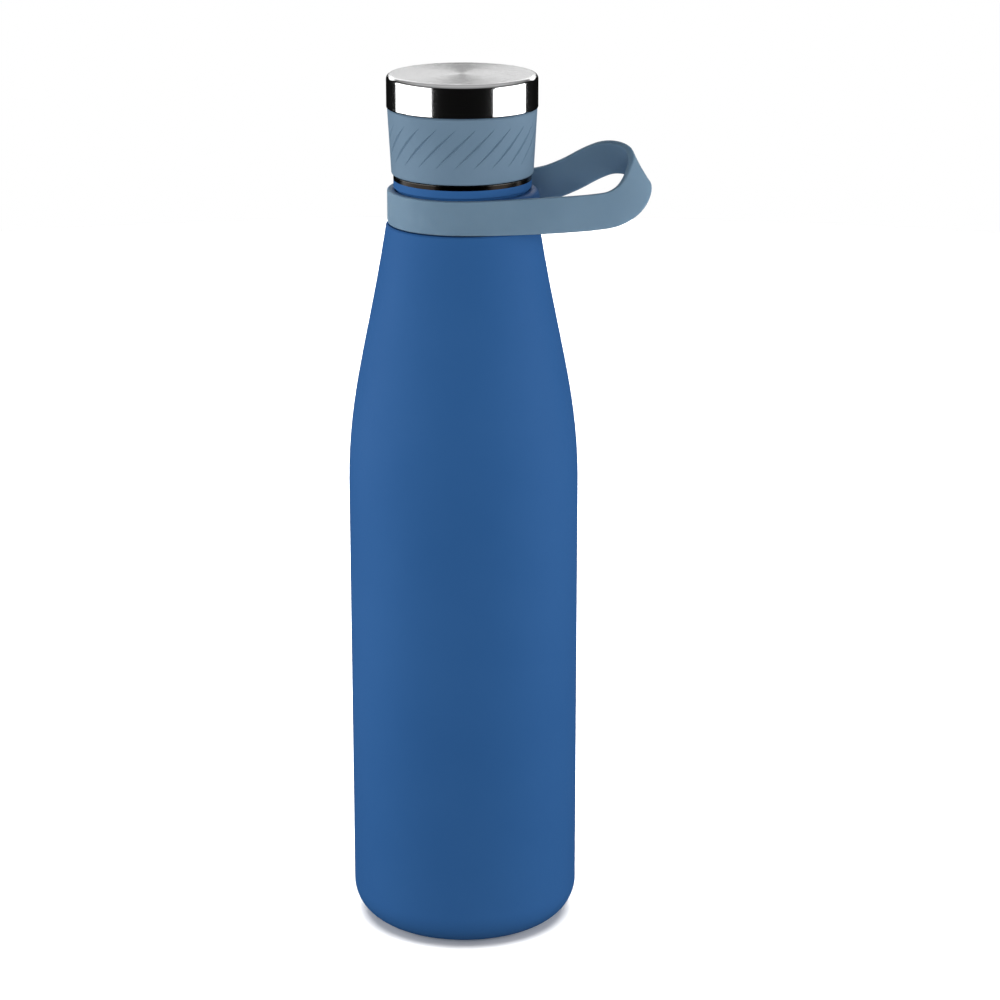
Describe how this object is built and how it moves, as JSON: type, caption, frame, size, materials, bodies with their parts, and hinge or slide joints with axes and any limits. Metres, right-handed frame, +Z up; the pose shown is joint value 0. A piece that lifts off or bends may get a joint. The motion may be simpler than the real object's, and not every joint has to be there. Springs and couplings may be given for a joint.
{
  "type": "water bottle",
  "caption": "Slim insulated steel water bottle with a screw cap, grooved soft grip and silicone carry strap.",
  "frame": {"origin": "on the bottle's axis, in the plane it stands on", "axes": "+Z up along the bottle's axis, towards the cap; +X towards the strap's finger loop"},
  "size_m": [0.0916, 0.07, 0.2662],
  "materials": {
    "blue_paint": "matt blue powder coat with a soft sheen",
    "brushed_steel": "satin",
    "seal_glass": "fused glass bead, cloudy",
    "bare_steel": "polished bare stainless steel",
    "liner_steel": "electropolished stainless steel",
    "copper_foil": "bright copper foil",
    "bracket_steel": "plain sheet",
    "getter_pill": "sintered metal powder, dull",
    "clear_silicone": "translucent silicone",
    "cap_plastic": "moulded polypropylene",
    "plug_plastic": "moulded polypropylene",
    "foam": "closed-cell foam",
    "cover_steel": "polished side and spin-brushed top",
    "grip_rubber": "matt grey-blue soft-touch rubber",
    "keeper_plastic": "matt blue moulded plastic, in the body's colour",
    "strap_silicone": "matt grey-blue silicone"
  },
  "bodies": {
    "bottle": {"outer_shell": "blue_paint", "outer_base": "blue_paint", "base_cover": "brushed_steel", "vacuum_seal": "seal_glass", "neck_thread_ring": "bare_steel", "inner_vessel": "liner_steel", "inner_bottom": "liner_steel", "radiation_foil": "copper_foil", "getter_bracket": "bracket_steel", "getter": "getter_pill"},
    "cap_seal": {"seal_ring": "clear_silicone"},
    "cap": {"cap_body": "cap_plastic", "cap_plug": "plug_plastic", "plug_insulation": "foam", "cap_top_cover": "cover_steel", "cap_grip_sleeve": "grip_rubber"},
    "strap": {"carry_strap": "strap_silicone", "strap_keeper": "keeper_plastic"}
  },
  "joints": [
    {"name": "cap_lift", "type": "slide", "parent": "bottle", "child": "cap_seal", "axis": [0, 0, 1], "range_m": [0, 0.02401]},
    {"name": "cap_turn", "type": "hinge", "parent": "cap_seal", "child": "cap", "pos_m": [0, 0, 0.2445], "axis": [0, 0, 1], "range_deg": [0, 2160]},
    {"name": "strap_swivel", "type": "hinge", "parent": "bottle", "child": "strap", "pos_m": [0, 0, 0.22695], "axis": [0, 0, 1], "continuous": true}
  ],
  "couplings": [
    {"joint": "cap_lift", "follows": "cap_turn", "m_per_rad": 0.00063662}
  ]
}
